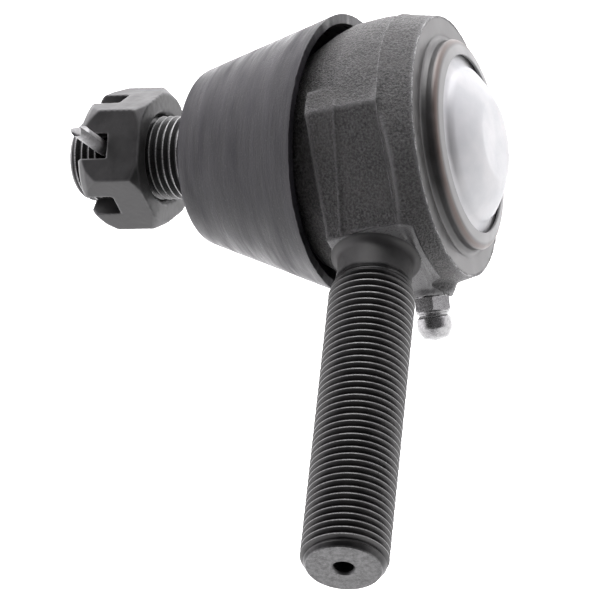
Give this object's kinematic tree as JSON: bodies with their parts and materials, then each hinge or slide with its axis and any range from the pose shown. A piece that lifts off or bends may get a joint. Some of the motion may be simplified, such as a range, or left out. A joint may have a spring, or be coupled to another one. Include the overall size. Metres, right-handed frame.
{
  "type": "tie rod end",
  "caption": "Greasable ball joint with a threaded shank, a tapered threaded stud, a rubber boot and a slotted nut; joins a steering rod to an arm.",
  "frame": {"origin": "centre of the end plug's flat crown", "axes": "+X along the threaded shank away from the socket, +Y along the socket's bore out through the end plug, +Z square to both, up as the part lies on its side"},
  "size_m": [0.1191, 0.0841, 0.052],
  "materials": {
    "forged_steel": "rough forged steel, dark oxide",
    "plug_zinc": "bright zinc plate",
    "spring_steel": "oiled spring steel",
    "sintered_iron": "sintered iron",
    "stud_black": "black oxide",
    "boot_rubber": "satin moulded rubber",
    "ring_nylon": "natural nylon",
    "nut_black": "black phosphate and oil",
    "cotter_galvanised": "galvanised wire",
    "fitting_zinc": "bright zinc plate"
  },
  "bodies": {
    "socket": {"housing": "forged_steel", "end_plug": "plug_zinc", "preload_disc_spring": "spring_steel", "upper_bearing": "sintered_iron", "grease_fitting": "fitting_zinc", "fitting_check_spring": "spring_steel"},
    "race": {"lower_bearing": "sintered_iron"},
    "boot": {"dust_boot": "boot_rubber", "boot_seat_ring": "ring_nylon"},
    "stud": {"ball_stud": "stud_black", "castle_nut": "nut_black", "cotter_pin": "cotter_galvanised"},
    "check_ball": {"fitting_check_ball": "spring_steel"}
  },
  "joints": [
    {"name": "stud_swing", "type": "hinge", "parent": "socket", "child": "race", "pos_m": [0, -0.016, 0], "axis": [1, 0, 0], "range_deg": [-15, 15]},
    {"name": "stud_tilt", "type": "hinge", "parent": "race", "child": "boot", "pos_m": [0, -0.016, 0], "axis": [0, 0, 1], "range_deg": [-6.25, 23.75], "deforming": ["dust_boot"]},
    {"name": "stud_spin", "type": "hinge", "parent": "boot", "child": "stud", "pos_m": [0, -0.016, 0], "axis": [-0.1521, -0.9884, 0], "continuous": true},
    {"name": "check_ball_lift", "type": "slide", "parent": "socket", "child": "check_ball", "axis": [-0.829, 0, 0.5592], "range_m": [0, 0.0006], "stiffness_N_per_m": 300, "springref_m": -0.0005, "deforming": ["fitting_check_spring"]}
  ]
}
